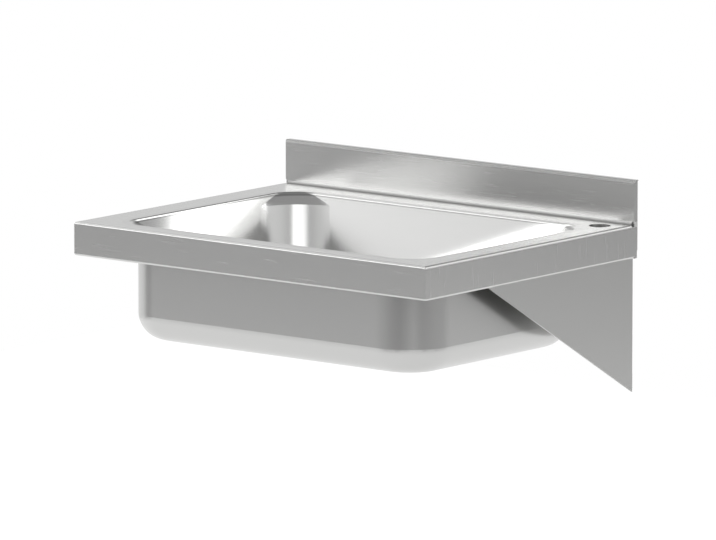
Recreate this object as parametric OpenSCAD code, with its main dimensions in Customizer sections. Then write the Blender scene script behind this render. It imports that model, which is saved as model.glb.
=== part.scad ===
// Wall-hung hand wash sink in stainless steel sheet: a folded deck with an upstand at the wall,
// a pressed bowl welded flush into it, a back panel, two folded brackets and a flanged waste.
// Millimetres. X runs to the right, Y to the wall and Z up. The wall is the plane Y = 0,
// the deck's top is Z = 0, and X = 0 is the middle of the deck.

/* [Deck] */
// Width of the deck, side to side
deck_w = 500; // [490:5:640]
// Depth of the deck, front apron to wall
deck_d = 380; // [378:2:460]
// Thickness of the sheet in the deck, upstand and back panel
sheet_t = 1.2; // [1:0.1:1.5]
// Height of the aprons at the front and sides
apron_h = 38; // [34:1:55]
// Outside radius of the bends round the deck
bend_r = 2.5; // [2:0.1:3.5]
// Width of the front apron's return lip
front_lip_w = 14; // [8:1:18]

/* [Upstand and back panel] */
// Height of the upstand above the deck
splash_h = 50; // [30:1:100]
// Thickness of the upstand, from its face to the wall
splash_t = 8; // [7:0.5:10]
// Radius of the cove between deck and upstand
cove_r = 2.5; // [2:0.5:5]
// Radius of the relief hole at each end of the cove
relief_r = 3.2; // [2.6:0.2:4]
// Inside radius of the tight bends in the upstand and the back panel
tight_in = 0.3; // [0.2:0.1:1.2]
// Width of the lip folded forward at the foot of the back panel
panel_lip_w = 7; // [5:0.5:7]
// Distance of that lip from each end of the panel
panel_lip_in = 14; // [12:1:30]
// Height of the clipped corner at the foot of each panel end
clip_h = 12; // [6:1:16]
// Depth of that clipped corner
clip_d = 3; // [2:0.5:4]
// Radius of the wall screw holes in the back panel
panel_hole_r = 3.5; // [3:0.25:4]
// Distance between those two holes
panel_hole_gap = 400; // [200:10:410]
// Depth of those holes below the deck
panel_hole_z = 20; // [15:1:24]

/* [Bowl] */
// Distance from each side of the deck to the bowl's inside wall, before its shift
bowl_side = 37.25; // [36.25:0.5:60.25]
// Distance from the front apron to the bowl's inside wall
bowl_front = 27.5; // [26:0.5:30]
// Distance from the wall to the bowl's inside wall
bowl_back = 47.5; // [46.5:0.5:60]
// Depth of the bowl, deck to floor inside
bowl_h = 131; // [111:5:181]
// Thickness of the bowl's sheet
bowl_t = 1; // [0.8:0.1:1.2]
// How far the bowl stands to the right of the middle
bowl_shift = 4.25; // [0:0.25:4.5]
// Inside radius of the bowl's upright corners
wall_corner_r = 55.5; // [50.5:1:68.5]
// Inside radius between the walls and the floor
floor_r = 29; // [20:1:32]
// Radius of the edge where the deck turns down into the bowl
rim_r = 2; // [2:0.5:4]
// Corner radius of the opening in the deck, where that edge starts
rim_corner_r = 36; // [33:1:42]
// How far the wider draw edge in the corners runs past the opening's corner
flare_over = 2.4; // [0.6:0.2:4]
// Width of the bowl's flange, ground flush with the deck
flange_w = 8; // [6:1:9]

/* [Waste outlet] */
// Distance from the bowl's back wall to the middle of the outlet
waste_back = 112.5; // [108.5:0.5:125]
// Radius of the shallow dish that drains the floor
dish_r = 78; // [70:1:80]
// Fall of that dish
dish_h = 2.5; // [1.5:0.5:4]
// Radius of the outlet hole in the bowl
outlet_r = 25; // [24.5:0.5:27]
// Outside radius of the waste's threaded tail
tail_r = 23.9; // [23.5:0.1:24]
// Inside radius of the tail
tail_bore_r = 20; // [19.5:0.5:21]
// Length of the free thread below the back nut
tail_free = 11; // [10:1:40]
// Radius of the waste's flange
waste_flange_r = 35; // [34:0.5:38]
// Thickness of that flange
waste_flange_t = 2.4; // [2.2:0.2:3]

/* [Tap hole] */
// Radius of the tap hole
tap_r = 12; // [10.5:0.5:12]
// Distance from the tap hole's middle to the right side
tap_side = 27; // [26.5:0.5:28]
// Distance from the tap hole's middle to the wall
tap_wall = 35; // [32:1:36]
// Width of the stiffening ring under the tap hole
tap_ring_w = 5.5; // [4:0.5:5.5]
// Thickness of that ring
tap_ring_t = 2.5; // [2:0.5:4]

/* [Brackets] */
// Thickness of the bracket plate
bracket_t = 2; // [1.5:0.5:2]
// Distance from the deck's side to the bracket's outer face
bracket_inset = 6; // [5.5:0.5:7]
// Length of the bracket along the deck
bracket_reach = 327; // [299:2:341]
// Drop of the bracket's tip below the deck
bracket_drop = 190.8; // [175.8:5:240.8]
// Outside radius of the folds in the bracket
fold_r = 2.2; // [2.2:0.1:3.5]
// Width of the flange under the deck
top_flange_w = 16; // [15:0.5:17]
// Width of the flange on the wall
wall_flange_w = 26; // [24:1:32]
// Length of plain edge above the bracket's tip
bracket_tip_h = 22; // [18:1:30]
// Distance of that plain edge from the wall
bracket_tip_in = 1.4; // [0.5:0.1:2]
// Radius of the wall screw holes in the brackets
bracket_hole_r = 4.5; // [3.5:0.25:5]
// Distance from the bracket's outer face to those holes
bracket_hole_in = 15; // [14:0.5:16]
// Depth of the upper bracket hole below the deck
bracket_hole_top = 65; // [55:1:70]
// Distance from the lower bracket hole to the foot of the wall flange
bracket_hole_foot = 23.8; // [12.8:1:38.8]

/* [Studs] */
// Radius of the weld studs under the deck
stud_r = 2.5; // [2:0.5:3]
// Length of the weld studs
stud_l = 14; // [12:1:20]
// Distance from the bracket's outer face to the studs
stud_in = 9; // [8.5:0.5:9.5]
// Distance from the wall to the rear studs
stud_rear = 110; // [95:5:130]
// Distance between front and rear studs
stud_gap = 160; // [120:5:165]

/* [Hidden] */
$fn = 72;

// Overrun of every cut past the face that it opens
overrun = 1;
// Clearance between the side returns and the brackets
lip_gap = 0.3;
// Clearance of the bracket's notch round the upstand and the back panel
notch_gap = 1.2;

// Deck
side_lip_w = bracket_inset - lip_gap;
splash_face = -splash_t;
splash_back = splash_face + sheet_t;
cove_start = splash_face - cove_r;
tight_r = sheet_t + tight_in;
relief_up = 0.9;
relief_run = 3.5;
tap_x = deck_w / 2 - tap_side;

// Back panel
panel_lip_l = deck_w - 2 * panel_lip_in;
panel_top = splash_h - sheet_t;
clip_low = 5.5;

// Bowl: its walls, its opening in the deck, and the centres of both kinds of corner
bowl_w = deck_w - 2 * bowl_side;
bowl_d = deck_d - bowl_front - bowl_back;
bowl_x = bowl_shift;
bowl_y = -deck_d + bowl_front + bowl_d / 2;
rim_w = bowl_w + 2 * rim_r;
rim_d = bowl_d + 2 * rim_r;
rim_wall_r = rim_corner_r - rim_r;
corner_step = wall_corner_r - rim_wall_r;
core_w = bowl_w - 2 * wall_corner_r;
core_d = bowl_d - 2 * wall_corner_r;
flange_outline_w = rim_w + 2 * flange_w;
flange_outline_d = rim_d + 2 * flange_w;
flange_outline_r = rim_corner_r + flange_w;
// Draw edge of the corners: from the wall's corner to just past the opening's corner
flare_r = corner_step * sqrt(2) + rim_corner_r + flare_over - wall_corner_r;

// Waste outlet: a dish, then a seat for the waste's flange
waste_x = bowl_x;
waste_y = bowl_y + bowl_d / 2 - waste_back;
seat_gap = 1.5;
seat_slope = 5;
seat_h = 4;
seat_r = waste_flange_r + seat_gap;
seat_z = -bowl_h - dish_h - seat_h;
seat_under = seat_z - bowl_t;

// Seals and nut on the waste's tail
ring_gap = 0.2;
flange_seal_t = 1.2;
flange_seal_in = 2;
tail_seal_t = 3;
tail_seal_w = 8;
slip_washer_t = 1;
back_nut_h = 9;
back_nut_flats = 58;
nut_gap = 0.15;
nut_edge = 1;
groove_w = 1.5;
groove_d = 0.6;
tail_seal_low = seat_under - tail_seal_t;
slip_washer_low = tail_seal_low - slip_washer_t;
back_nut_low = slip_washer_low - back_nut_h;
groove_low = back_nut_low - groove_w;
tail_end = groove_low - tail_free;
flange_low = seat_z + flange_seal_t;
flange_top = flange_low + waste_flange_t;
flange_edge = 1;

// Strainer: a drilled plate let into the flange, held by one screw to a hub on crossed ribs
strainer_r = 28;
strainer_t = 1.4;
strainer_gap = 0.3;
strainer_hole_r = 1.9;
strainer_ring_rs = [9, 13.2, 17.4];
strainer_counts = [6, 12, 16];
strainer_low = flange_top - strainer_t;
hub_r = 5.5;
hub_h = 12;
rib_t = 2.5;
rib_h = 9;
screw_r = 2.5;
screw_l = 13;
screw_head_r = 5;
screw_head_h = 2;
screw_slot_w = 1.2;
screw_slot_h = 1.1;
screw_gap = 0.2;

// Brackets, drawn for the right side
bracket_x = deck_w / 2 - bracket_inset;
bracket_top = -sheet_t;
nose_cut = 14;
top_flange_end = -75;
notch_y = splash_face - notch_gap;
notch_z = -apron_h - notch_gap;
wall_flange_low = -bracket_drop + bracket_tip_h;
bracket_slope = (bracket_drop + bracket_top) / bracket_reach;
nose_y = -bracket_reach + nose_cut;
nose_z = bracket_top - nose_cut * bracket_slope;
bracket_hole_x = bracket_x - bracket_hole_in;
bracket_hole_gap = -wall_flange_low - bracket_hole_foot - bracket_hole_top;

// Studs and what sits on them
stud_x = bracket_x - stud_in;
stud_hole_gap = 0.5;
stud_fit = 0.1;
washer_w = 2.4;
washer_t = 1;
stud_nut_flats = 8;
stud_nut_h = 4;
stud_nut_edge = 0.5;
stud_washer_top = bracket_top - bracket_t;
stud_nut_top = stud_washer_top - washer_t;

// Damping pads under the floor, one on each side of the dish
pad_t = 2.5;
pad_corner_r = 8;
pad_share = 0.75;
pad_room = bowl_w / 2 - floor_r - dish_r;
pad_w = pad_room * pad_share;
pad_d = (bowl_d - 2 * floor_r) * pad_share;
pad_x = dish_r + pad_room / 2;

// Earth terminal on the back panel
lug_w = 18;
lug_h = 20;
lug_leg = 17;
lug_t = 2;
lug_x = -90;
lug_low = -30;
earth_r = 3;
earth_l = 16;
earth_flats = 10;
earth_head_h = 4;
earth_nut_h = 5;
earth_edge = 0.6;
earth_hole_gap = 0.4;
earth_y = -sheet_t - lug_t - (lug_leg - lug_t) / 2;

// Rounded rectangle, centred
module round_rect(w, d, r) {
    square([w - 2 * r, d], center = true);
    square([w, d - 2 * r], center = true);
    for (sx = [-1, 1], sy = [-1, 1])
        translate([sx * (w / 2 - r), sy * (d / 2 - r)])
            circle(r = r);
}

// Quarter of a bent sheet's section, with its centre at the origin
module bend_quarter(r, t) {
    intersection() {
        difference() {
            circle(r = r);
            circle(r = r - t);
        }
        square(r);
    }
}

// Flat ring from z = 0 up
module flat_ring(outer_r, inner_r, h) {
    difference() {
        cylinder(r = outer_r, h = h);
        translate([0, 0, -overrun])
            cylinder(r = inner_r, h = h + 2 * overrun);
    }
}

// Hexagon of a nut or screw head from z = 0 up, with its corners taken off at both ends
module hex_block(flats, h, edge) {
    corner_r = flats / sqrt(3);
    intersection() {
        cylinder(r = corner_r, h = h, $fn = 6);
        rotate_extrude()
            polygon([
                [0, 0],
                [corner_r - edge, 0],
                [corner_r, edge],
                [corner_r, h - edge],
                [corner_r - edge, h],
                [0, h]
            ]);
    }
}

// Hexagon nut from z = 0 up
module hex_nut(flats, h, edge, bore_r) {
    difference() {
        hex_block(flats, h, edge);
        translate([0, 0, -overrun])
            cylinder(r = bore_r, h = h + 2 * overrun);
    }
}

// Outline of the deck tray from the front, drawn in by cut
module tray_front(cut) {
    translate([0, -apron_h / 2])
        round_rect(deck_w - 2 * cut, apron_h - 2 * cut, bend_r - cut);
}

// Outline of the deck tray from the side, drawn in by cut and run back to y_end
module tray_side(cut, y_end) {
    run = y_end + deck_d - cut;
    height = apron_h - 2 * cut;
    translate([y_end - run / 2, -apron_h / 2])
        round_rect(run, height, bend_r - cut);
    translate([y_end - run / 2, -apron_h + cut])
        square([run / 2, height]);
}

// Solid of the deck tray, drawn in by cut
module tray_solid(cut, y_end) {
    intersection() {
        translate([0, y_end, 0])
            rotate([90, 0, 0])
                linear_extrude(height = y_end + deck_d + overrun)
                    tray_front(cut);
        translate([-deck_w / 2 - overrun, 0, 0])
            rotate([90, 0, 90])
                linear_extrude(height = deck_w + 2 * overrun)
                    tray_side(cut, y_end + overrun);
    }
}

// Section of the upstand: cove, face, top bend and return to the wall
module splash_section() {
    translate([cove_start, cove_r])
        rotate(-90)
            bend_quarter(cove_r + sheet_t, sheet_t);
    translate([splash_face, cove_r])
        square([sheet_t, splash_h - cove_r - tight_r]);
    translate([splash_face + tight_r, splash_h - tight_r])
        rotate(90)
            bend_quarter(tight_r, sheet_t);
    translate([splash_face + tight_r, splash_h - sheet_t])
        square([splash_t - tight_r, sheet_t]);
}

// Deck, aprons, return lips and upstand, folded from one sheet
module deck_sheet() {
    color("gainsboro")
    difference() {
        union() {
            difference() {
                tray_solid(0, splash_back);
                tray_solid(sheet_t, splash_back + overrun);
                // opening between the return lips, through to the back
                translate([-deck_w / 2 + side_lip_w, -deck_d + front_lip_w, -apron_h - overrun])
                    cube([deck_w - 2 * side_lip_w, deck_d, sheet_t + 2 * overrun]);
                // the deck stops where the cove starts, and the side aprons a little lower
                translate([-deck_w / 2 - overrun, cove_start, relief_up - relief_r])
                    cube([deck_w + 2 * overrun, splash_t + cove_r, relief_r + overrun]);
            }
            translate([-deck_w / 2, 0, 0])
                rotate([90, 0, 90])
                    linear_extrude(height = deck_w)
                        splash_section();
        }
        // relief hole at each end of the cove
        for (sx = [-1, 1])
            translate([sx * deck_w / 2, splash_back + overrun, relief_up])
                rotate([90, 0, 0])
                    cylinder(r = relief_r, h = relief_run + sheet_t + overrun);
        // cut-out for the bowl's flange
        translate([bowl_x, bowl_y, -sheet_t - overrun])
            linear_extrude(height = sheet_t + 2 * overrun)
                round_rect(flange_outline_w, flange_outline_d, flange_outline_r);
        // tap hole
        translate([tap_x, -tap_wall, -sheet_t - overrun])
            cylinder(r = tap_r, h = sheet_t + 2 * overrun);
    }
}

// How far the bowl's form runs past the deck's top: the outer one ends inside the flange
function bowl_rise(skin) = skin > 0 ? -skin / 2 : overrun;

// Height of the blocks that fill the form's middle, clear of the form's top
function core_h(skin) = bowl_h + skin + (skin > 0 ? -floor_r : 2 * overrun);

// Section of the bowl from the axis of a corner and from its underside up: wall at wall_r,
// drawn out by skin, with an edge of radius edge_r at the deck and floor_r at the foot
module bowl_section(wall_r, edge_r, skin) {
    edge_low = bowl_h + skin - edge_r;
    rise = bowl_rise(skin);
    difference() {
        union() {
            square([wall_r + skin, bowl_h + skin + rise]);
            translate([wall_r, edge_low])
                square([edge_r, edge_r + rise]);
        }
        translate([wall_r + edge_r, edge_low])
            circle(r = edge_r - skin);
        difference() {
            translate([wall_r - floor_r, -overrun])
                square([floor_r + skin + overrun, floor_r + skin + overrun]);
            translate([wall_r - floor_r, floor_r + skin])
                circle(r = floor_r + skin);
        }
    }
}

// Straight run of that section along Y, from y = 0 to y = run
module bowl_run(wall_r, run, skin) {
    translate([0, run, 0])
        rotate([90, 0, 0])
            linear_extrude(height = run)
                bowl_section(wall_r, rim_r, skin);
}

// One corner of the bowl, from the axis of its wall: the wide draw edge of the wall's corner,
// trimmed to the tighter corner of the opening, so that it swells from rim_r and back
module bowl_corner(skin) {
    intersection() {
        rotate_extrude(angle = 90)
            bowl_section(wall_corner_r, flare_r, skin);
        union() {
            translate([corner_step, corner_step, 0])
                rotate_extrude(angle = 90)
                    bowl_section(rim_wall_r, rim_r, skin);
            translate([corner_step, 0, 0])
                bowl_run(rim_wall_r, corner_step, skin);
            translate([0, corner_step, 0])
                mirror([1, 0, 0])
                    rotate(90)
                        bowl_run(rim_wall_r, corner_step, skin);
            cube([corner_step, corner_step, core_h(skin)]);
        }
    }
}

// Whole form of the bowl from its underside up, drawn out by skin
module bowl_form(skin) {
    for (sx = [0, 1], sy = [0, 1])
        mirror([sx, 0, 0])
            mirror([0, sy, 0])
                translate([core_w / 2, core_d / 2, 0])
                    bowl_corner(skin);
    for (sx = [0, 1])
        mirror([sx, 0, 0])
            translate([core_w / 2, -core_d / 2, 0])
                bowl_run(wall_corner_r, core_d, skin);
    for (sy = [0, 1])
        mirror([0, sy, 0])
            translate([-core_w / 2, core_d / 2, 0])
                mirror([1, 0, 0])
                    rotate(90)
                        bowl_run(wall_corner_r, core_w, skin);
    translate([-core_w / 2, -core_d / 2, 0])
        cube([core_w, core_d, core_h(skin)]);
}

// Half section of the drain dish and the flange seat, from the floor's plane
module dish_section() {
    polygon([
        [0, -dish_h - seat_h],
        [seat_r, -dish_h - seat_h],
        [seat_r + seat_slope, -dish_h],
        [dish_r, 0],
        [dish_r, bowl_t],
        [0, bowl_t]
    ]);
}

// Pressed bowl with its flush flange
module bowl() {
    color("silver")
    difference() {
        union() {
            translate([bowl_x, bowl_y, -bowl_h - bowl_t])
                bowl_form(bowl_t);
            translate([bowl_x, bowl_y, -bowl_t])
                linear_extrude(height = bowl_t)
                    round_rect(flange_outline_w, flange_outline_d, flange_outline_r);
            translate([waste_x, waste_y, -bowl_h - bowl_t])
                rotate_extrude()
                    dish_section();
        }
        translate([bowl_x, bowl_y, -bowl_h])
            bowl_form(0);
        translate([waste_x, waste_y, -bowl_h])
            rotate_extrude()
                dish_section();
        translate([waste_x, waste_y, seat_under - overrun])
            cylinder(r = outlet_r, h = bowl_t + 2 * overrun);
    }
}

// Plan of the back panel's tray, drawn in by cut, from y = front to the wall
module panel_plan(cut, front) {
    intersection() {
        translate([0, -splash_t])
            round_rect(deck_w - 2 * cut, 2 * splash_t - 2 * cut, tight_r - cut);
        translate([-deck_w / 2, front])
            square([deck_w, -front]);
    }
}

// Section of the lip at the foot of the back panel
module panel_lip_section() {
    translate([-bend_r, -apron_h + bend_r])
        rotate(-90)
            bend_quarter(bend_r, sheet_t);
    translate([-panel_lip_w, -apron_h])
        square([panel_lip_w - bend_r, sheet_t]);
}

// Back panel on the wall, with its ends folded forward to meet the deck
module back_panel() {
    color("lightgray")
    difference() {
        union() {
            difference() {
                translate([0, 0, -apron_h])
                    linear_extrude(height = apron_h + panel_top)
                        panel_plan(0, splash_back);
                translate([0, 0, -apron_h - overrun])
                    linear_extrude(height = apron_h + panel_top + 2 * overrun)
                        panel_plan(sheet_t, splash_face - overrun);
                translate([-panel_lip_l / 2, -splash_t, -apron_h - overrun])
                    cube([panel_lip_l, splash_t + overrun, bend_r + overrun]);
            }
            translate([-panel_lip_l / 2, 0, 0])
                rotate([90, 0, 90])
                    linear_extrude(height = panel_lip_l)
                        panel_lip_section();
        }
        // clipped corner at the foot of each end
        for (sx = [0, 1])
            mirror([sx, 0, 0])
                translate([deck_w / 2 - tight_r, 0, 0])
                    rotate([90, 0, 90])
                        linear_extrude(height = tight_r + overrun)
                            polygon([
                                [-clip_d, -apron_h + clip_low],
                                [0, -apron_h + clip_h],
                                [overrun, -apron_h + clip_h],
                                [overrun, -apron_h - overrun],
                                [-clip_d, -apron_h - overrun]
                            ]);
        // wall screw holes
        for (sx = [-1, 1])
            translate([sx * panel_hole_gap / 2, overrun, -panel_hole_z])
                rotate([90, 0, 0])
                    cylinder(r = panel_hole_r, h = sheet_t + 2 * overrun);
    }
}

// Section of a folded bracket edge, with the centre of its bend at the origin
module fold_section(flange_w) {
    bend_quarter(fold_r, bracket_t);
    translate([fold_r - flange_w, fold_r - bracket_t])
        square([flange_w - fold_r, bracket_t]);
}

// Flat of the bracket from the side, cut back where its edges are folded
module bracket_web() {
    difference() {
        polygon([
            [-bracket_tip_in, -bracket_drop + bracket_tip_in * bracket_slope],
            [-bracket_tip_in, wall_flange_low],
            [0, wall_flange_low],
            [0, notch_z],
            [notch_y, notch_z],
            [notch_y, bracket_top],
            [nose_y, bracket_top],
            [nose_y, nose_z]
        ]);
        translate([nose_y - overrun, bracket_top - fold_r])
            square([top_flange_end - nose_y + overrun, fold_r + overrun]);
        translate([-fold_r, wall_flange_low])
            square([fold_r + overrun, notch_z - wall_flange_low + overrun]);
    }
}

// Folded bracket for the right side
module bracket() {
    difference() {
        union() {
            translate([bracket_x - bracket_t, 0, 0])
                rotate([90, 0, 90])
                    linear_extrude(height = bracket_t)
                        bracket_web();
            translate([bracket_x - fold_r, top_flange_end, bracket_top - fold_r])
                rotate([90, 0, 0])
                    linear_extrude(height = top_flange_end - nose_y)
                        fold_section(top_flange_w);
            translate([bracket_x - fold_r, -fold_r, wall_flange_low])
                linear_extrude(height = notch_z - wall_flange_low)
                    fold_section(wall_flange_w);
        }
        // holes for the weld studs
        for (step = [0, 1])
            translate([stud_x, -stud_rear - step * stud_gap, bracket_top - bracket_t - overrun])
                cylinder(r = stud_r + stud_hole_gap, h = bracket_t + 2 * overrun);
        // wall screw holes
        for (step = [0, 1])
            translate([bracket_hole_x, overrun, -bracket_hole_top - step * bracket_hole_gap])
                rotate([90, 0, 0])
                    cylinder(r = bracket_hole_r, h = bracket_t + 2 * overrun);
    }
}

module bracket_right() {
    color("silver")
        bracket();
}

module bracket_left() {
    color("silver")
        mirror([1, 0, 0])
            bracket();
}

// Stiffening ring welded under the tap hole
module tap_hole_ring() {
    color("darkgray")
        translate([tap_x, -tap_wall, -sheet_t - tap_ring_t])
            flat_ring(tap_r + tap_ring_w, tap_r, tap_ring_t);
}

// The four stud positions
module at_studs() {
    for (sx = [-1, 1], step = [0, 1])
        translate([sx * stud_x, -stud_rear - step * stud_gap, 0])
            children();
}

// Threaded studs welded to the deck's underside
module weld_studs() {
    color("darkgray")
        at_studs()
            translate([0, 0, -sheet_t - stud_l])
                cylinder(r = stud_r, h = stud_l);
}

module stud_washers() {
    color("lightgray")
        at_studs()
            translate([0, 0, stud_nut_top])
                flat_ring(stud_r + washer_w, stud_r + stud_fit, washer_t);
}

module stud_nuts() {
    color("lightgray")
        at_studs()
            translate([0, 0, stud_nut_top - stud_nut_h])
                hex_nut(stud_nut_flats, stud_nut_h, stud_nut_edge, stud_r + stud_fit);
}

// Pads glued under the floor that deaden the sound of the water
module damping_pads() {
    color("dimgray")
        for (sx = [-1, 1])
            translate([bowl_x + sx * pad_x, bowl_y, -bowl_h - bowl_t - pad_t])
                linear_extrude(height = pad_t)
                    round_rect(pad_w, pad_d, pad_corner_r);
}

// Waste: flange, threaded tail, and the crossed ribs and hub that hold the strainer
module waste_body() {
    color("silver")
    translate([waste_x, waste_y, 0])
    difference() {
        union() {
            difference() {
                rotate_extrude()
                    polygon([
                        [0, tail_end],
                        [tail_r - flange_edge, tail_end],
                        [tail_r, tail_end + flange_edge],
                        [tail_r, groove_low],
                        [tail_r - groove_d, groove_low],
                        [tail_r - groove_d, back_nut_low],
                        [tail_r, back_nut_low],
                        [tail_r, flange_low],
                        [waste_flange_r, flange_low],
                        [waste_flange_r, flange_top - flange_edge],
                        [waste_flange_r - flange_edge, flange_top],
                        [0, flange_top]
                    ]);
                translate([0, 0, tail_end - overrun])
                    cylinder(r = tail_bore_r, h = flange_top - tail_end + 2 * overrun);
                translate([0, 0, strainer_low])
                    cylinder(r = strainer_r + strainer_gap, h = strainer_t + overrun);
            }
            for (turn = [0, 90])
                rotate(turn)
                    translate([-tail_bore_r - groove_d, -rib_t / 2, strainer_low - rib_h])
                        cube([2 * (tail_bore_r + groove_d), rib_t, rib_h]);
            translate([0, 0, strainer_low - hub_h])
                cylinder(r = hub_r, h = hub_h);
        }
        translate([0, 0, strainer_low - hub_h - overrun])
            cylinder(r = screw_r + screw_gap, h = hub_h + 2 * overrun);
    }
}

// Drilled plate let into the waste's flange
module strainer_plate() {
    color("gainsboro")
    translate([waste_x, waste_y, strainer_low])
    difference() {
        cylinder(r = strainer_r, h = strainer_t);
        translate([0, 0, -overrun])
            cylinder(r = screw_r + screw_gap, h = strainer_t + 2 * overrun);
        for (ring = [0, 1, 2])
            for (i = [1 : strainer_counts[ring]])
                rotate(i * 360 / strainer_counts[ring])
                    translate([strainer_ring_rs[ring], 0, -overrun])
                        cylinder(r = strainer_hole_r, h = strainer_t + 2 * overrun, $fn = 24);
    }
}

// Screw that holds the plate down to the hub, with a slotted head
module strainer_screw() {
    color("silver")
    translate([waste_x, waste_y, flange_top])
    difference() {
        union() {
            translate([0, 0, -screw_l])
                cylinder(r = screw_r, h = screw_l);
            cylinder(r1 = screw_head_r, r2 = screw_head_r - screw_head_h / 2, h = screw_head_h);
        }
        translate([-screw_head_r - overrun, -screw_slot_w / 2, screw_head_h - screw_slot_h])
            cube([2 * (screw_head_r + overrun), screw_slot_w, screw_slot_h + overrun]);
    }
}

// Seal between the waste's flange and the bowl
module flange_seal() {
    color("dimgray")
        translate([waste_x, waste_y, seat_z])
            flat_ring(waste_flange_r - flange_seal_in, tail_r + ring_gap, flange_seal_t);
}

// Seal between the bowl and the back nut
module tail_seal() {
    color("dimgray")
        translate([waste_x, waste_y, tail_seal_low])
            flat_ring(tail_r + tail_seal_w, tail_r + ring_gap, tail_seal_t);
}

module slip_washer() {
    color("lightgray")
        translate([waste_x, waste_y, slip_washer_low])
            flat_ring(tail_r + tail_seal_w, tail_r + ring_gap, slip_washer_t);
}

// Large nut that pulls the waste down onto its seals
module back_nut() {
    color("gray")
        translate([waste_x, waste_y, back_nut_low])
            hex_nut(back_nut_flats, back_nut_h, nut_edge, tail_r + nut_gap);
}

// Angle welded to the back panel, for the earth wire
module earth_lug() {
    color("silver")
    difference() {
        union() {
            translate([lug_x - lug_w / 2, -sheet_t - lug_t, lug_low])
                cube([lug_w, lug_t, lug_h]);
            translate([lug_x - lug_w / 2, -sheet_t - lug_leg, lug_low])
                cube([lug_w, lug_leg, lug_t]);
        }
        translate([lug_x, earth_y, lug_low - overrun])
            cylinder(r = earth_r + earth_hole_gap, h = lug_t + 2 * overrun);
    }
}

module earth_bolt() {
    color("lightgray")
    translate([lug_x, earth_y, lug_low]) {
        cylinder(r = earth_r, h = earth_l);
        translate([0, 0, -earth_head_h])
            hex_block(earth_flats, earth_head_h, earth_edge);
    }
}

module earth_nut() {
    color("lightgray")
        translate([lug_x, earth_y, lug_low + lug_t])
            hex_nut(earth_flats, earth_nut_h, earth_edge, earth_r + stud_fit);
}

deck_sheet();
bowl();
back_panel();
bracket_right();
bracket_left();
tap_hole_ring();
weld_studs();
stud_washers();
stud_nuts();
damping_pads();
waste_body();
strainer_plate();
strainer_screw();
flange_seal();
tail_seal();
slip_washer();
back_nut();
earth_lug();
earth_bolt();
earth_nut();
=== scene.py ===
"""Wall-hung stainless steel hand wash sink: finishes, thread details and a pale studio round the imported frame."""

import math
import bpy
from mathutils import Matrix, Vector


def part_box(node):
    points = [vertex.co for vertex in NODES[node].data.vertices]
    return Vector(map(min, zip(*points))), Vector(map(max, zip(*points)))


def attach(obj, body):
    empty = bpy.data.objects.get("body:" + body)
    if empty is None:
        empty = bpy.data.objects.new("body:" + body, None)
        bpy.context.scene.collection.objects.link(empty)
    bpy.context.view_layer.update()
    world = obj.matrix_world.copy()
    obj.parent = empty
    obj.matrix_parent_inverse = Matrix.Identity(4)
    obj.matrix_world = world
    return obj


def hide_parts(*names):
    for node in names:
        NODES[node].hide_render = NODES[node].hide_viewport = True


bl_info = {
    "name": "Stainless Hand Wash Sink",
    "version": (1, 0, 0),
    "blender": (4, 5, 0),
    "location": "View3D > Sidebar > Hand Sink",
    "description": "Finishes a wall-hung stainless steel hand wash sink and sets it in a pale studio",
    "category": "Object",
}

import bmesh
import bpy
from mathutils import Matrix, Vector

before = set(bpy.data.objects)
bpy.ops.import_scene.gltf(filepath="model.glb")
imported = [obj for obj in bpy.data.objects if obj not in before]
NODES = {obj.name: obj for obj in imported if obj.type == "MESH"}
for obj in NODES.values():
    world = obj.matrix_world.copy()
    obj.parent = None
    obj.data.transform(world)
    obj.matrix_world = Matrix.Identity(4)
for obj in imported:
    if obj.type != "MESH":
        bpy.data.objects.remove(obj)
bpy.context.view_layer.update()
MM = 0.001

# Where the upstand folds up from the deck, its top, and the sides of the deck
UPSTAND_FACE = -8 * MM
UPSTAND_TOP = 50 * MM
DECK_SIDE = 250 * MM

# Folds of the sheet: reach of the matt strip round each fold's line, its roughness and its painted shade
FOLD_NEAR, FOLD_FAR = 1.8 * MM, 3.2 * MM
FOLD_ROUGHNESS = 0.6
FOLD_PAINTED_SHADE = 0.78

# Depth of a thread as a share of its pitch
THREAD_DEPTH = 0.61
# Threads: M5 studs, M6 earth bolt and the one and a half inch pipe thread of the waste's tail
STUD_R, STUD_PITCH = 2.5 * MM, 0.8 * MM
EARTH_R, EARTH_PITCH, EARTH_HEAD_H = 3.0 * MM, 1.0 * MM, 4.0 * MM
# The tail is cut just inside the groove above its thread, clear of the groove's lower face
TAIL_R, TAIL_BORE_R, TAIL_PITCH, TAIL_FREE = 23.9 * MM, 20.0 * MM, 2.309 * MM, 11.3 * MM
ROD_STEPS, TAIL_STEPS = 24, 96

# Inside the bowl the shading normal leans and turns by these slopes. The solid's walls are upright, and no real wall
# leans as far: the slopes are there for the look alone, so that the polish catches light from above the rim.
WALL_SWELL = 0.46
CORNER_SWELL = 0.36
FRONT_LEAN = 0.5
END_TURN = 0.3
# Direction, across the width and down, along which that turn sets in, and where it starts and is full
TURN_SLANT = (0.36, 0.0, -1.0)
TURN_FROM, TURN_FULL = 47 * MM, 80 * MM
# Depths, from the wall to the front, between which the narrow walls take on their further lean
FRONT_FROM, FRONT_FULL = -180 * MM, -345 * MM
# Below the deck: where the inside's polish starts and is full, and where the painted dark line under the rim fades
# out
POLISH_FROM, POLISH_FULL = -1.0 * MM, -3.0 * MM
RIM_SHADE_LOW, RIM_SHADE_END = -2.5 * MM, -4.5 * MM
# How far a face has to look toward the bowl's middle to count as its inside
INSIDE_BAND = 8 * MM

# Roughness of the bowl outside, as pressed, and inside, polished
BOWL_PRESSED, BOWL_POLISHED = 0.27, 0.22


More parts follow.
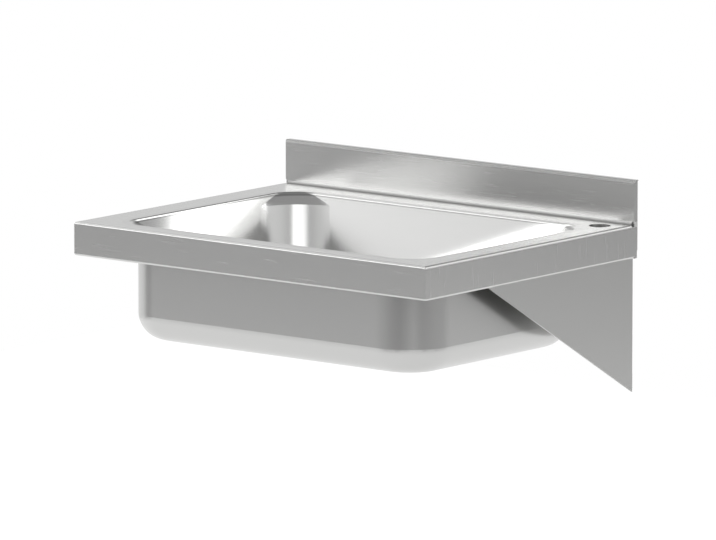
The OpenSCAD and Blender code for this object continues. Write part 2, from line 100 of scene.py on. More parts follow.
def linear(sheet_hex):
    """Linear colour of an sRGB hex value."""
    parts = [int(sheet_hex[i : i + 2], 16) / 255 for i in (0, 2, 4)]
    return tuple(c / 12.92 if c <= 0.04045 else ((c + 0.055) / 1.055) ** 2.4 for c in parts)


def tone(colour, share):
    """A colour made darker or paler, for a node's colour socket."""
    return (*(min(1.0, c * share) for c in colour), 1.0)


def grey(level):
    """Four equal-channel values for a node's colour socket."""
    return (level, level, level, 1.0)


# Metals and mouldings whose colour is fixed
MACHINED_STEEL = linear("C2C2C4")
CHROME = linear("DCDDDF")
BITUMEN = linear("2F2F31")
NYLON = linear("E4E4E0")
# Tool lines: their spacing and length on machined metal and on the chrome
TOOL_GAP, TOOL_RUN = 0.5 * MM, 8 * MM
CHROME_GAP, CHROME_RUN = 0.4 * MM, 10 * MM
METAL_ROUGHNESS, CHROME_ROUGHNESS = 0.3, 0.09


# ---------------------------------------------------------------- sizes and colours a user would change


class HandSinkFinish(bpy.types.PropertyGroup):
    """Colours and grain of the sink's materials"""

    sheet_colour: bpy.props.FloatVectorProperty(
        name="Sheet", description="Reflected colour of the satin sheet",
        subtype="COLOR", size=3, min=0, max=1, default=linear("C5C5C4"))
    # the bowl's colour is paler than the sheet's: partly painted light, which brightens the bowl's inside
    bowl_colour: bpy.props.FloatVectorProperty(
        name="Bowl", description="Reflected colour of the polished bowl",
        subtype="COLOR", size=3, min=0, max=1, default=linear("E9E9E8"))
    bracket_colour: bpy.props.FloatVectorProperty(
        name="Brackets", description="Reflected colour of the bracket plate",
        subtype="COLOR", size=3, min=0, max=1, default=linear("B9B9B8"))
    brass_colour: bpy.props.FloatVectorProperty(
        name="Brass", description="Reflected colour of the brass nuts",
        subtype="COLOR", size=3, min=0, max=1, default=linear("D2B56F"))
    rubber_colour: bpy.props.FloatVectorProperty(
        name="Rubber", description="Colour of the seals",
        subtype="COLOR", size=3, min=0, max=1, default=linear("1C1C1D"))
    grain_gap: bpy.props.FloatProperty(
        name="Grain spacing", description="Distance between the brushed lines",
        unit="LENGTH", min=0.0002, max=0.004, default=0.7 * MM)
    grain_run: bpy.props.FloatProperty(
        name="Grain length", description="Length of one brushed line",
        unit="LENGTH", min=0.01, max=0.5, default=60 * MM)


class HandSinkStage(bpy.types.PropertyGroup):
    """Floor and light"""

    floor_height: bpy.props.FloatProperty(
        name="Floor height", description="Height of the floor, below the deck's top",
        unit="LENGTH", default=-0.85)
    floor_half: bpy.props.FloatProperty(
        name="Floor half width", description="Distance from the middle of the floor to its edge",
        unit="LENGTH", default=3.0)
    floor_colour: bpy.props.FloatVectorProperty(
        name="Floor", description="Colour of the floor under the light",
        subtype="COLOR", size=3, min=0, max=1, default=linear("C6C6C6"))
    key_light: bpy.props.FloatProperty(
        name="Soft boxes", description="Brightness of the soft boxes, where 1 is as white as the backdrop",
        min=0, max=20, default=2.0)


# ---------------------------------------------------------------- node and material helpers


def add_node(tree, kind, inputs=None, **settings):
    """Adds a node with its settings, and sets or links its inputs."""
    made = tree.nodes.new(kind)
    for name, value in settings.items():
        setattr(made, name, value)
    for name, value in (inputs or {}).items():
        socket = made.inputs[name]
        if isinstance(value, bpy.types.NodeSocket):
            tree.links.new(value, socket)
        else:
            socket.default_value = value
    return made


def set_ramp(ramp_node, stops, smooth=True):
    """Gives a colour ramp its stops, as pairs of position and grey level."""
    ramp = ramp_node.color_ramp
    ramp.interpolation = "EASE" if smooth else "LINEAR"
    for i, (place, level) in enumerate(stops):
        stop = ramp.elements[i] if i < len(ramp.elements) else ramp.elements.new(place)
        stop.position = place
        stop.color = grey(level)


def new_material(name):
    """A named material with an empty tree and its output node."""
    material = bpy.data.materials.new(name)
    material.use_nodes = True
    tree = material.node_tree
    tree.nodes.clear()
    return material, tree, add_node(tree, "ShaderNodeOutputMaterial")


def dress(names, material):
    """Puts one material on CAD nodes, whose meshes stay as they are."""
    for name in names:
        for slot in NODES[name].material_slots:
            slot.material = material


def brushed_grain(tree, gap, run, along):
    """Streaks along one axis of the object, from 0 to 1."""
    place = add_node(tree, "ShaderNodeTexCoord")
    scale = [1 / run if axis == along else 1 / gap for axis in "XYZ"]
    laid = add_node(tree, "ShaderNodeMapping",
                    {"Vector": place.outputs["Object"], "Scale": scale})
    return add_node(tree, "ShaderNodeTexNoise",
                    {"Vector": laid.outputs["Vector"], "Scale": 1.0, "Detail": 2.0, "Roughness": 0.6}).outputs["Fac"]


def sheet_grain(tree, finish):
    """Grain of a folded sheet: along its width, and upright where the sides are folded down."""
    across = brushed_grain(tree, finish.grain_gap, finish.grain_run, "X")
    down = brushed_grain(tree, finish.grain_gap, finish.grain_run, "Z")
    facing = add_node(tree, "ShaderNodeSeparateXYZ",
                      {"Vector": add_node(tree, "ShaderNodeTexCoord").outputs["Normal"]})
    side = add_node(tree, "ShaderNodeMath", {0: facing.outputs["X"]}, operation="ABSOLUTE")
    on_side = add_node(tree, "ShaderNodeMath", {0: side.outputs[0], 1: 0.7}, operation="GREATER_THAN")
    return add_node(tree, "ShaderNodeMix",
                    {"Factor": on_side.outputs[0], "A": across, "B": down}, data_type="FLOAT").outputs["Result"]


def make_satin_sheet(finish):
    """Brushed 304 stainless sheet: the brush leaves fine parallel lines, which blur what it reflects across them."""
    material, tree, output = new_material("brushed_stainless_sheet")
    grain = sheet_grain(tree, finish)
    place = add_node(tree, "ShaderNodeTexCoord")
    cloud = add_node(tree, "ShaderNodeTexNoise",
                     {"Vector": place.outputs["Object"], "Scale": 9.0, "Detail": 3.0})
    brushed = add_node(tree, "ShaderNodeMapRange",
                       {"Value": grain, "From Min": 0.3, "From Max": 0.7, "To Min": 0.262, "To Max": 0.274})
    lines = add_node(tree, "ShaderNodeBump",
                     {"Height": grain, "Strength": 0.008, "Distance": 0.02 * MM})
    tint = add_node(tree, "ShaderNodeMix",
                    {"Factor": cloud.outputs["Fac"],
                     "A": tone(finish.sheet_colour, 0.97),
                     "B": tone(finish.sheet_colour, 1.03)}, data_type="RGBA")
    # the press brake leaves the folds of the upstand and of the sides matt; painted shade also darkens them, dulling
    # their highlights and the crease at the upstand's foot
    folds_matt_and_painted_shade = None
    for keep, line, share in (((0, 1, 1), (0, UPSTAND_FACE, UPSTAND_TOP), 1.0),
                              ((0, 1, 1), (0, UPSTAND_FACE, 0), 1.0),
                              ((1, 0, 1), (DECK_SIDE, 0, 0), 0.5), ((1, 0, 1), (-DECK_SIDE, 0, 0), 0.5)):
        section = add_node(tree, "ShaderNodeVectorMath", {0: place.outputs["Object"], 1: keep}, operation="MULTIPLY")
        reach = add_node(tree, "ShaderNodeVectorMath", {0: section.outputs["Vector"], 1: line}, operation="DISTANCE")
        near = add_node(tree, "ShaderNodeMapRange",
                        {"Value": reach.outputs["Value"], "From Min": FOLD_NEAR, "From Max": FOLD_FAR,
                         "To Min": share, "To Max": 0.0})
        folds_matt_and_painted_shade = near if folds_matt_and_painted_shade is None else add_node(
            tree, "ShaderNodeMath", {0: folds_matt_and_painted_shade.outputs[0], 1: near.outputs[0]}, operation="MAXIMUM")
    rough = add_node(tree, "ShaderNodeMix",
                     {"Factor": folds_matt_and_painted_shade.outputs[0], "A": brushed.outputs["Result"], "B": FOLD_ROUGHNESS},
                    data_type="FLOAT")
    # painted shade: the fold strips take a darker copy of the sheet's colour
    painted_shade = add_node(tree, "ShaderNodeMix",
                     {"Factor": folds_matt_and_painted_shade.outputs[0], "A": tint.outputs["Result"],
                      "B": tone(finish.sheet_colour, FOLD_PAINTED_SHADE)}, data_type="RGBA")
    shader = add_node(tree, "ShaderNodeBsdfPrincipled",
                      {"Metallic": 1.0, "Base Color": painted_shade.outputs["Result"],
                       "Roughness": rough.outputs["Result"], "Normal": lines.outputs["Normal"]})
    tree.links.new(shader.outputs[0], output.inputs["Surface"])
    return material


def make_polished_bowl(finish):
    """Pressed 304 stainless: polished inside, where its soft reflections waver a little, and left as pressed outside.
    Its flange is ground with the deck. A dark line under the rim is painted shade. Inside, the shading normal leans,
    as said at WALL_SWELL."""
    material, tree, output = new_material("polished_stainless_pressing")
    grain = sheet_grain(tree, finish)
    place = add_node(tree, "ShaderNodeTexCoord")
    low, high = NODES["bowl"].bound_box[0], NODES["bowl"].bound_box[6]
    middle = tuple((low[i] + high[i]) / 2 for i in range(3))
    # a face that looks toward the bowl's middle is its inside
    outward = add_node(tree, "ShaderNodeVectorMath",
                       {0: place.outputs["Object"], 1: middle}, operation="SUBTRACT")
    looks = add_node(tree, "ShaderNodeVectorMath",
                     {0: outward.outputs["Vector"], 1: place.outputs["Normal"]}, operation="DOT_PRODUCT")
    inward_side = add_node(tree, "ShaderNodeMapRange",
                           {"Value": looks.outputs["Value"], "From Min": INSIDE_BAND, "From Max": -INSIDE_BAND})
    spot = add_node(tree, "ShaderNodeSeparateXYZ", {"Vector": place.outputs["Object"]})
    below_rim = add_node(tree, "ShaderNodeMapRange",
                         {"Value": spot.outputs["Z"], "From Min": POLISH_FROM, "From Max": POLISH_FULL})
    inside = add_node(tree, "ShaderNodeMath",
                      {0: inward_side.outputs["Result"], 1: below_rim.outputs["Result"]}, operation="MULTIPLY")
    polish = add_node(tree, "ShaderNodeMix",
                      {"Factor": inside.outputs[0], "A": BOWL_PRESSED, "B": BOWL_POLISHED}, data_type="FLOAT")
    # partly painted light: the inside takes the paler bowl colour, which brightens it where light comes out only
    # after many mirror bounces; the outside takes the sheet's colour, a little darker
    tint = add_node(tree, "ShaderNodeMix",
                    {"Factor": inside.outputs[0], "A": tone(finish.sheet_colour, 0.95),
                     "B": tone(finish.bowl_colour, 1.0)}, data_type="RGBA")
    # painted shade: a dark line under the rim, where the rim's bend shows dark
    rim_shade_depth = add_node(tree, "ShaderNodeMapRange",
                          {"Value": spot.outputs["Z"], "From Min": RIM_SHADE_LOW, "From Max": RIM_SHADE_END,
                           "To Min": 1.0, "To Max": 0.0})
    rim_painted_shade = add_node(tree, "ShaderNodeMath",
                        {0: rim_shade_depth.outputs["Result"], 1: inside.outputs[0]}, operation="MULTIPLY")
    painted_shade = add_node(tree, "ShaderNodeMix",
                     {"Factor": rim_painted_shade.outputs[0], "A": tint.outputs["Result"],
                      "B": tone(finish.bowl_colour, 0.4)}, data_type="RGBA")
    wave = add_node(tree, "ShaderNodeTexNoise",
                    {"Vector": place.outputs["Object"], "Scale": 16.0, "Detail": 1.0})
    # the normal leans up, more on the walls than in the corners
    squared = add_node(tree, "ShaderNodeVectorMath",
                       {0: place.outputs["Normal"], 1: place.outputs["Normal"]}, operation="MULTIPLY")
    facing = add_node(tree, "ShaderNodeSeparateXYZ", {"Vector": squared.outputs["Vector"]})
    flatness = add_node(tree, "ShaderNodeMath",
                        {0: add_node(tree, "ShaderNodeMath", {0: facing.outputs["X"], 1: facing.outputs["Y"]},
                                     operation="SUBTRACT").outputs[0]}, operation="ABSOLUTE")
    swell = add_node(tree, "ShaderNodeMath",
                     {0: flatness.outputs[0], 1: WALL_SWELL - CORNER_SWELL, 2: CORNER_SWELL},
                     operation="MULTIPLY_ADD")
    # toward the front it leans further on the narrow walls
    front = add_node(tree, "ShaderNodeMapRange",
                     {"Value": spot.outputs["Y"], "From Min": FRONT_FROM, "From Max": FRONT_FULL,
                      "To Min": 0.0, "To Max": FRONT_LEAN}, interpolation_type="SMOOTHSTEP")
    lean = add_node(tree, "ShaderNodeMath",
                    {0: facing.outputs["X"], 1: front.outputs["Result"], 2: swell.outputs[0]},
                    operation="MULTIPLY_ADD")
    rise = add_node(tree, "ShaderNodeMath", {0: lean.outputs[0], 1: inside.outputs[0]}, operation="MULTIPLY")
    # low down toward the right end it turns inward
    slant = add_node(tree, "ShaderNodeVectorMath",
                     {0: place.outputs["Object"], 1: TURN_SLANT}, operation="DOT_PRODUCT")
    low_right = add_node(tree, "ShaderNodeMapRange",
                         {"Value": slant.outputs["Value"], "From Min": TURN_FROM, "From Max": TURN_FULL,
                          "To Min": 0.0, "To Max": -END_TURN}, interpolation_type="SMOOTHSTEP")
    inward = add_node(tree, "ShaderNodeMath",
                      {0: low_right.outputs["Result"], 1: inside.outputs[0]}, operation="MULTIPLY")
    upward = add_node(tree, "ShaderNodeCombineXYZ", {"X": inward.outputs[0], "Z": rise.outputs[0]})
    leant = add_node(tree, "ShaderNodeVectorMath",
                     {0: place.outputs["Normal"], 1: upward.outputs["Vector"]}, operation="ADD")
    unit = add_node(tree, "ShaderNodeVectorMath", {0: leant.outputs["Vector"]}, operation="NORMALIZE")
    waver = add_node(tree, "ShaderNodeBump",
                     {"Height": wave.outputs["Fac"], "Strength": 0.5, "Distance": 0.05 * MM,
                      "Normal": unit.outputs["Vector"]})
    lines = add_node(tree, "ShaderNodeBump",
                     {"Height": grain, "Strength": 0.012, "Distance": 0.02 * MM,
                      "Normal": waver.outputs["Normal"]})
    shader = add_node(tree, "ShaderNodeBsdfPrincipled",
                      {"Metallic": 1.0, "Base Color": painted_shade.outputs["Result"],
                       "Roughness": polish.outputs["Result"], "Normal": lines.outputs["Normal"]})
    tree.links.new(shader.outputs[0], output.inputs["Surface"])
    return material


def make_plain_metal(name, colour, roughness, gap, run, along):
    """A machined or plated metal with light tool lines."""
    material, tree, output = new_material(name)
    grain = brushed_grain(tree, gap, run, along)
    rough = add_node(tree, "ShaderNodeMapRange",
                     {"Value": grain, "From Min": 0.3, "From Max": 0.7,
                      "To Min": roughness * 0.96, "To Max": roughness * 1.04})
    lines = add_node(tree, "ShaderNodeBump", {"Height": grain, "Strength": 0.02, "Distance": 0.02 * MM})
    shader = add_node(tree, "ShaderNodeBsdfPrincipled",
                      {"Metallic": 1.0, "Base Color": tone(colour, 1.0),
                       "Roughness": rough.outputs["Result"], "Normal": lines.outputs["Normal"]})
    tree.links.new(shader.outputs[0], output.inputs["Surface"])
    return material


def make_soft_matt(name, colour, roughness, speckle):
    """Moulded rubber or nylon: matt, with a fine even grain."""
    material, tree, output = new_material(name)
    place = add_node(tree, "ShaderNodeTexCoord")
    fine = add_node(tree, "ShaderNodeTexNoise",
                    {"Vector": place.outputs["Object"], "Scale": 1 / speckle, "Detail": 3.0})
    tint = add_node(tree, "ShaderNodeMix",
                    {"Factor": fine.outputs["Fac"],
                     "A": tone(colour, 0.85),
                     "B": tone(colour, 1.15)}, data_type="RGBA")
    skin = add_node(tree, "ShaderNodeBump",
                    {"Height": fine.outputs["Fac"], "Strength": 0.3, "Distance": 0.1 * MM})
    shader = add_node(tree, "ShaderNodeBsdfPrincipled",
                      {"Base Color": tint.outputs["Result"], "Roughness": roughness,
                       "Normal": skin.outputs["Normal"]})
    tree.links.new(shader.outputs[0], output.inputs["Surface"])
    return material


# ---------------------------------------------------------------- threads


def screw_thread(radius, pitch, low, high, steps, bore=0.0):
    """Closed threaded rod round the Z axis, or a threaded tube where a bore is given."""
    form = bmesh.new()
    root = radius - THREAD_DEPTH * pitch
    # one turn of the section: root, root, crest, crest, as radius and share of the pitch
    section = ((root, 0.0), (root, 0.25), (radius, 0.56), (radius, 0.69))
    turns = math.ceil((high - low) / pitch) + 3
    line = [form.verts.new((across, 0, low + (turn - 2 + up) * pitch))
            for turn in range(turns) for across, up in section]
    edges = [form.edges.new(pair) for pair in zip(line, line[1:])]
    bmesh.ops.spin(form, geom=line + edges, cent=(0, 0, 0), axis=(0, 0, 1), dvec=(0, 0, pitch / steps),
                   angle=2 * math.pi, steps=steps, use_merge=False, use_duplicate=False)
    # the end of each turn meets the start of the next
    bmesh.ops.remove_doubles(form, verts=form.verts, dist=0.02 * pitch)
    for height, up in ((low, -1), (high, 1)):
        bmesh.ops.bisect_plane(form, geom=form.verts[:] + form.edges[:] + form.faces[:], dist=1e-7,
                               plane_co=(0, 0, height), plane_no=(0, 0, up), clear_outer=True)
    if bore:
        ring = bmesh.ops.create_circle(form, cap_ends=False, segments=steps, radius=bore)["verts"]
        bmesh.ops.translate(form, verts=ring, vec=(0, 0, low))
        drawn = bmesh.ops.extrude_edge_only(form, edges=list({edge for v in ring for edge in v.link_edges}))
        bmesh.ops.translate(form, verts=[v for v in drawn["geom"] if isinstance(v, bmesh.types.BMVert)],
                            vec=(0, 0, high - low))
    close_at(form, low)
    close_at(form, high)
    return form


def close_at(form, height):
    """Fills the open edges that lie in one level plane."""
    edges = [edge for edge in form.edges
             if edge.is_boundary and all(abs(v.co.z - height) < 1e-6 for v in edge.verts)]
    bmesh.ops.triangle_fill(form, use_beauty=True, use_dissolve=False, edges=edges)


def add_form(form, extra, places):
    """Adds copies of one form to another, moved to each place."""
    for place in places:
        mesh = bpy.data.meshes.new("copied")
        extra.to_mesh(mesh)
        mesh.transform(Matrix.Translation(place))
        form.from_mesh(mesh)
        bpy.data.meshes.remove(mesh)


def cut_copy(node, height, keep_above):
    """Merged copy of a CAD node's mesh, cut off by a level plane and closed there."""
    form = bmesh.new()
    form.from_mesh(NODES[node].data)
    bmesh.ops.remove_doubles(form, verts=form.verts, dist=1e-6)
    bmesh.ops.bisect_plane(form, geom=form.verts[:] + form.edges[:] + form.faces[:], dist=1e-7,
                           plane_co=(0, 0, height), plane_no=(0, 0, -1 if keep_above else 1), clear_outer=True)
    close_at(form, height)
    return form


def finish_piece(name, form, node, material):
    """Makes the object that stands for a CAD node, and puts it on the sink's one body."""
    bmesh.ops.recalc_face_normals(form, faces=form.faces)
    if any(not edge.is_manifold for edge in form.edges):
        raise RuntimeError(name + " isn't closed")
    mesh = bpy.data.meshes.new(name)
    form.to_mesh(mesh)
    form.free()
    mesh.shade_smooth()
    mesh.set_sharp_from_angle(angle=math.radians(25))
    mesh.materials.append(material)
    piece = bpy.data.objects.new(name, mesh)
    bpy.context.scene.collection.objects.link(piece)
    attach(piece, "root")
    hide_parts(node)


# ---------------------------------------------------------------- operators for the pieces


class HANDSINK_OT_sheet(bpy.types.Operator):
    """Finish the folded deck and the back panel"""

    bl_idname = "handsink.sheet"
    bl_label = "Deck and back panel"

    def execute(self, context):
        dress(["deck_sheet", "back_panel"], make_satin_sheet(context.scene.hand_sink_finish))
        return {"FINISHED"}


class HANDSINK_OT_bowl(bpy.types.Operator):
    """Finish the pressed bowl"""

    bl_idname = "handsink.bowl"
    bl_label = "Bowl"

    def execute(self, context):
        dress(["bowl"], make_polished_bowl(context.scene.hand_sink_finish))
        return {"FINISHED"}


class HANDSINK_OT_brackets(bpy.types.Operator):
    """Finish the folded brackets and the ring under the tap hole"""

    bl_idname = "handsink.brackets"
    bl_label = "Brackets"

    def execute(self, context):
        finish = context.scene.hand_sink_finish
        plate = make_plain_metal("brushed_stainless_plate", finish.bracket_colour, METAL_ROUGHNESS,
                                 finish.grain_gap, finish.grain_run, "Y")
        dress(["bracket_right", "bracket_left", "tap_hole_ring", "earth_lug"], plate)
        return {"FINISHED"}


class HANDSINK_OT_fasteners(bpy.types.Operator):
    """Finish the washers, nuts and the earth terminal, and thread the studs and the earth bolt"""

    bl_idname = "handsink.fasteners"
    bl_label = "Fasteners"

    def execute(self, context):
        finish = context.scene.hand_sink_finish
        steel = make_plain_metal("machined_stainless_steel", MACHINED_STEEL, METAL_ROUGHNESS, TOOL_GAP, TOOL_RUN, "X")
        brass = make_plain_metal("machined_brass", finish.brass_colour, METAL_ROUGHNESS, TOOL_GAP, TOOL_RUN, "X")
        dress(["weld_studs", "stud_washers", "stud_nuts", "strainer_screw"], steel)
        dress(["back_nut", "earth_bolt", "earth_nut"], brass)

        low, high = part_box("weld_studs")
        rod = screw_thread(STUD_R, STUD_PITCH, low[2], high[2], ROD_STEPS)
        studs = bmesh.new()
        add_form(studs, rod, [(x, y, 0) for x in (low[0] + STUD_R, high[0] - STUD_R)
                              for y in (low[1] + STUD_R, high[1] - STUD_R)])
        rod.free()
        finish_piece("threaded_weld_studs", studs, "weld_studs", steel)

        low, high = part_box("earth_bolt")
        shank = low[2] + EARTH_HEAD_H
        bolt = cut_copy("earth_bolt", shank, keep_above=False)
        rod = screw_thread(EARTH_R, EARTH_PITCH, shank, high[2], ROD_STEPS)
        add_form(bolt, rod, [((low[0] + high[0]) / 2, (low[1] + high[1]) / 2, 0)])
        rod.free()
        finish_piece("threaded_earth_bolt", bolt, "earth_bolt", brass)
        return {"FINISHED"}


class HANDSINK_OT_waste(bpy.types.Operator):
    """Thread the waste's tail, and finish the waste, its strainer and its seals"""

    bl_idname = "handsink.waste"
    bl_label = "Waste"

    def execute(self, context):
        finish = context.scene.hand_sink_finish
        chrome = make_plain_metal("chrome_plated_brass", CHROME, CHROME_ROUGHNESS, CHROME_GAP, CHROME_RUN, "X")
        dress(["waste_body", "strainer_plate"], chrome)

        low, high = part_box("waste_body")
        groove = low[2] + TAIL_FREE
        waste = cut_copy("waste_body", groove, keep_above=True)
        tail = screw_thread(TAIL_R, TAIL_PITCH, low[2], groove, TAIL_STEPS, TAIL_BORE_R)
        add_form(waste, tail, [((low[0] + high[0]) / 2, (low[1] + high[1]) / 2, 0)])
        tail.free()
        finish_piece("threaded_waste_body", waste, "waste_body", chrome)

        dress(["flange_seal", "tail_seal"],
              make_soft_matt("moulded_black_rubber", finish.rubber_colour, 0.7, 1.2 * MM))
        dress(["damping_pads"],
              make_soft_matt("bitumen_filled_rubber", BITUMEN, 0.85, 2.5 * MM))
        dress(["slip_washer"],
              make_soft_matt("white_nylon", NYLON, 0.4, 1.5 * MM))
        return {"FINISHED"}


# ---------------------------------------------------------------- stage


# Camera fitted to the photo's straight edges
CAMERA_YAW = math.radians(38.869)
CAMERA_PITCH = math.radians(8.953)
CAMERA_DISTANCE = 9.7565
CAMERA_TARGET = Vector((0.0, -0.19, 0.0))
FOCAL_PX = 8764.6
IMAGE_W = 716
SENSOR = 36.0
SHIFT_X_PX = 2.090
SHIFT_Y_PX = -47.087

# What the metal shows on the camera's side and beyond the object, as pairs of height (0 straight down, 0.5 level,
# 1 straight up) and brightness, where 1 is as white as the backdrop. The near side is partly brighter than that.
NEAR_ROOM = (
    (0.33, 0.20), (0.43, 0.22), (0.50, 0.78), (0.57, 2.6),
    (0.62, 2.1), (0.69, 0.75), (0.76, 0.70), (0.85, 0.3),
)
FAR_ROOM = ((0.33, 0.90), (0.43, 1.0), (0.50, 1.0), (0.60, 1.0), (0.70, 0.42), (0.82, 0.3))
# The even light that falls on matt surfaces, and what the eye and metal see the floor glow with
PLAIN_LIGHT = 0.9
FLOOR_LIFT = 0.5

# Soft boxes: name, bearing from the front toward the right, height, width, depth (degrees), share of the level
LAMP_DISTANCE = 4.0
SOFT_BOXES = (
    ("back_right_soft_box", 146, 23, 24, 24, 1.0),
    ("front_right_soft_box", 36, 27, 34, 22, 0.65),
    ("left_soft_box", -88, 41, 50, 34, 0.55),
    ("low_left_soft_box", -74, 20, 34, 20, 0.8),
    ("front_left_soft_box", -39, 14, 24, 12, 0.8),
)


def seen_directly(tree, strength):
    """Strength for camera, glossy and transmission rays, and 0 for the light that falls on the object."""
    path = add_node(tree, "ShaderNodeLightPath")
    metal = add_node(tree, "ShaderNodeMath",
                     {0: path.outputs["Is Camera Ray"], 1: path.outputs["Is Glossy Ray"]}, operation="MAXIMUM")
    glass = add_node(tree, "ShaderNodeMath",
                     {0: metal.outputs[0], 1: path.outputs["Is Transmission Ray"]}, operation="MAXIMUM")
    return add_node(tree, "ShaderNodeMath", {0: glass.outputs[0], 1: strength}, operation="MULTIPLY").outputs[0]


def make_floor(stage):
    """Plain pale floor, square round the wall line. From below it lets the camera through."""
    mesh = bpy.data.meshes.new("floor")
    form = bmesh.new()
    bmesh.ops.create_grid(form, x_segments=1, y_segments=1, size=stage.floor_half)
    bmesh.ops.translate(form, verts=form.verts, vec=(0, 0, stage.floor_height))
    form.to_mesh(mesh)
    form.free()
    floor = bpy.data.objects.new("floor", mesh)
    bpy.context.scene.collection.objects.link(floor)
    material, tree, output = new_material("pale_matt_floor")
    paint = add_node(tree, "ShaderNodeBsdfDiffuse", {"Color": (*stage.floor_colour, 1)})
    # the paint keeps the object's shadow, and the glow lifts it to white for the eye and in the metal
    glow = add_node(tree, "ShaderNodeEmission", {"Color": grey(1.0), "Strength": seen_directly(tree, FLOOR_LIFT)})
    lit = add_node(tree, "ShaderNodeAddShader", {0: paint.outputs[0], 1: glow.outputs[0]})
    clear = add_node(tree, "ShaderNodeBsdfTransparent")
    side = add_node(tree, "ShaderNodeNewGeometry")
    both = add_node(tree, "ShaderNodeMixShader",
                    {0: side.outputs["Backfacing"], 1: lit.outputs[0], 2: clear.outputs[0]})
    tree.links.new(both.outputs[0], output.inputs["Surface"])
    mesh.materials.append(material)


def make_world():
    """White behind the object for the camera, and a soft grey studio for everything that reflects."""
    world = bpy.data.worlds.new("pale_studio")
    bpy.context.scene.world = world
    world.use_nodes = True
    tree = world.node_tree
    tree.nodes.clear()
    toward = add_node(tree, "ShaderNodeTexCoord")
    parts = add_node(tree, "ShaderNodeSeparateXYZ", {"Vector": toward.outputs["Generated"]})
    # how far a direction points away from the camera's side, flat on the floor
    away = add_node(tree, "ShaderNodeVectorMath",
                    {0: toward.outputs["Generated"],
                     1: (-math.sin(CAMERA_YAW), math.cos(CAMERA_YAW), 0.0)}, operation="DOT_PRODUCT")
    height = add_node(tree, "ShaderNodeMapRange",
                      {"Value": parts.outputs["Z"], "From Min": -1.0, "From Max": 1.0})
    near = add_node(tree, "ShaderNodeValToRGB", {"Fac": height.outputs["Result"]})
    set_ramp(near, NEAR_ROOM)
    far = add_node(tree, "ShaderNodeValToRGB", {"Fac": height.outputs["Result"]})
    set_ramp(far, FAR_ROOM)
    split = add_node(tree, "ShaderNodeMapRange",
                     {"Value": away.outputs["Value"], "From Min": 0.28, "From Max": 0.6},
                     interpolation_type="SMOOTHSTEP")
    # the studio is darkest round the camera
    dim = add_node(tree, "ShaderNodeMapRange",
                   {"Value": away.outputs["Value"], "From Min": -1.0, "From Max": -0.5, "To Min": 0.5, "To Max": 1.0},
                   interpolation_type="SMOOTHSTEP")
    dark = add_node(tree, "ShaderNodeVectorMath",
                    {0: near.outputs["Color"], "Scale": dim.outputs["Result"]}, operation="SCALE")
    room = add_node(tree, "ShaderNodeMix",
                    {"Factor": split.outputs["Result"], "A": dark.outputs["Vector"], "B": far.outputs["Color"]},
                    data_type="RGBA")
    # what falls on the object is even and plain; what metal shows is the white backdrop and the room round it
    shown = add_node(tree, "ShaderNodeMix",
                     {"Factor": seen_directly(tree, 1.0), "A": grey(PLAIN_LIGHT), "B": room.outputs["Result"]},
                     data_type="RGBA")
    path = add_node(tree, "ShaderNodeLightPath")
    soft = add_node(tree, "ShaderNodeBackground", {"Color": shown.outputs["Result"], "Strength": 1.0})
    white = add_node(tree, "ShaderNodeBackground", {"Color": grey(1.0), "Strength": 1.0})
    mixed = add_node(tree, "ShaderNodeMixShader",
                     {0: path.outputs["Is Camera Ray"], 1: soft.outputs[0], 2: white.outputs[0]})
    add_node(tree, "ShaderNodeOutputWorld", {"Surface": mixed.outputs[0]})


def soft_box(name, bearing, height, width, depth, level):
    """Area light that faces the sink. Its bearing, height, width and depth are in degrees."""
    side, up = math.radians(bearing), math.radians(height)
    toward = Vector((math.sin(side) * math.cos(up), -math.cos(side) * math.cos(up), math.sin(up)))
    light = bpy.data.lights.new(name, "AREA")
    light.shape = "RECTANGLE"
    light.size = 2 * LAMP_DISTANCE * math.tan(math.radians(width / 2))
    light.size_y = 2 * LAMP_DISTANCE * math.tan(math.radians(depth / 2))
    light.energy = level * math.pi * light.size * light.size_y
    lamp = bpy.data.objects.new(name, light)
    bpy.context.scene.collection.objects.link(lamp)
    lamp.location = CAMERA_TARGET + toward * LAMP_DISTANCE
    lamp.rotation_euler = toward.to_track_quat("Z", "Y").to_euler()
    lamp.visible_camera = False


def make_camera():
    """Camera at the photo's angle, with only the shift that its framing needs."""
    lens = bpy.data.cameras.new("camera")
    lens.sensor_width = SENSOR
    lens.lens = FOCAL_PX * SENSOR / IMAGE_W
    lens.shift_x = SHIFT_X_PX / IMAGE_W
    lens.shift_y = SHIFT_Y_PX / IMAGE_W
    lens.clip_start, lens.clip_end = 0.1, 100
    camera = bpy.data.objects.new("camera", lens)
    bpy.context.scene.collection.objects.link(camera)
    back = Vector((math.sin(CAMERA_YAW) * math.cos(CAMERA_PITCH),
                   -math.cos(CAMERA_YAW) * math.cos(CAMERA_PITCH), math.sin(CAMERA_PITCH)))
    camera.location = CAMERA_TARGET + back * CAMERA_DISTANCE
    camera.rotation_euler = back.to_track_quat("Z", "Y").to_euler()
    bpy.context.scene.camera = camera


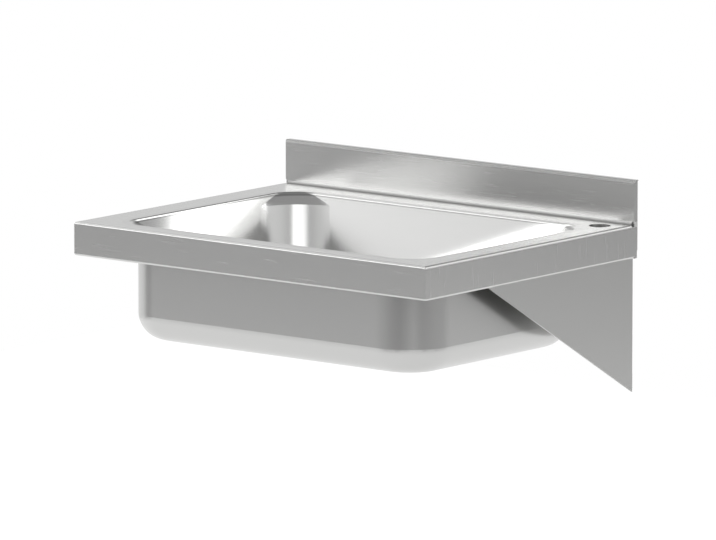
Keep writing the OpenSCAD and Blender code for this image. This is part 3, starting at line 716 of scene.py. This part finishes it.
class HANDSINK_OT_stage(bpy.types.Operator):
    """Set up the floor, the light and the camera"""

    bl_idname = "handsink.stage"
    bl_label = "Stage"

    def execute(self, context):
        stage = context.scene.hand_sink_stage
        make_floor(stage)
        make_world()
        for name, *place, share in SOFT_BOXES:
            soft_box(name, *place, share * stage.key_light)
        make_camera()
        context.scene.view_settings.view_transform = "Standard"
        # light finds its way out of the polished bowl only after many mirror bounces
        context.scene.cycles.max_bounces = 24
        context.scene.cycles.glossy_bounces = 24
        return {"FINISHED"}


class HANDSINK_PT_panel(bpy.types.Panel):
    """Sizes, colours and steps of the hand wash sink"""

    bl_idname = "HANDSINK_PT_panel"
    bl_label = "Hand Sink"
    bl_space_type = "VIEW_3D"
    bl_region_type = "UI"
    bl_category = "Hand Sink"

    def draw(self, context):
        for group in (context.scene.hand_sink_finish, context.scene.hand_sink_stage):
            box = self.layout.box()
            for name in group.bl_rna.properties.keys():
                if name not in ("rna_type", "name"):
                    box.prop(group, name)
        for operator in STEPS:
            self.layout.operator(operator.bl_idname)


GROUPS = (HandSinkFinish, HandSinkStage)
STEPS = (HANDSINK_OT_sheet, HANDSINK_OT_bowl, HANDSINK_OT_brackets, HANDSINK_OT_fasteners,
         HANDSINK_OT_waste, HANDSINK_OT_stage)


def register():
    for made in (*GROUPS, *STEPS, HANDSINK_PT_panel):
        bpy.utils.register_class(made)
    bpy.types.Scene.hand_sink_finish = bpy.props.PointerProperty(type=HandSinkFinish)
    bpy.types.Scene.hand_sink_stage = bpy.props.PointerProperty(type=HandSinkStage)


def unregister():
    del bpy.types.Scene.hand_sink_finish
    del bpy.types.Scene.hand_sink_stage
    for made in reversed((*GROUPS, *STEPS, HANDSINK_PT_panel)):
        bpy.utils.unregister_class(made)


def main():
    register()
    bpy.ops.handsink.sheet()
    bpy.ops.handsink.bowl()
    bpy.ops.handsink.brackets()
    bpy.ops.handsink.fasteners()
    bpy.ops.handsink.waste()
    bpy.ops.handsink.stage()


if __name__ == "__main__":
    main()
